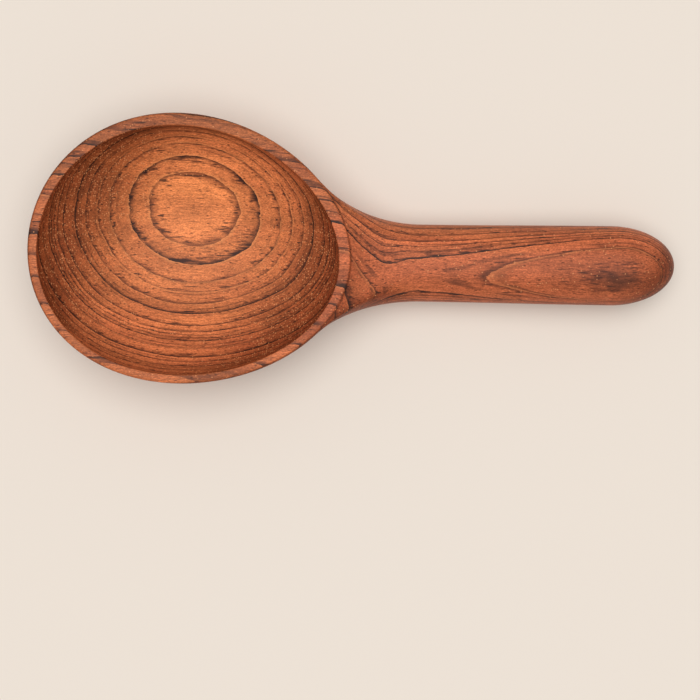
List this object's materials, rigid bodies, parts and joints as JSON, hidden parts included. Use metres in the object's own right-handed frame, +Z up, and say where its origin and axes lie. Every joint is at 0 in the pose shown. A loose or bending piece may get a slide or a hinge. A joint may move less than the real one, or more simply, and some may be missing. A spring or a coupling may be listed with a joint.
{
  "type": "serving spoon",
  "caption": "Short wooden serving spoon with a deep egg-shaped bowl, a flat rim, a coved neck and a stout rounded handle, lying on its planed underside.",
  "frame": {"origin": "middle of the spoon's length and width, on the plane that its underside rests on", "axes": "+X from the bowl's tip to the end of the handle, +Y across the bowl, +Z up out of the bowl"},
  "size_m": [0.2, 0.0821, 0.0289],
  "materials": {
    "oiled_hardwood": "oiled satin, sanded smooth"
  },
  "bodies": {
    "root": {"bowl": "oiled_hardwood", "handle": "oiled_hardwood"}
  },
  "joints": []
}
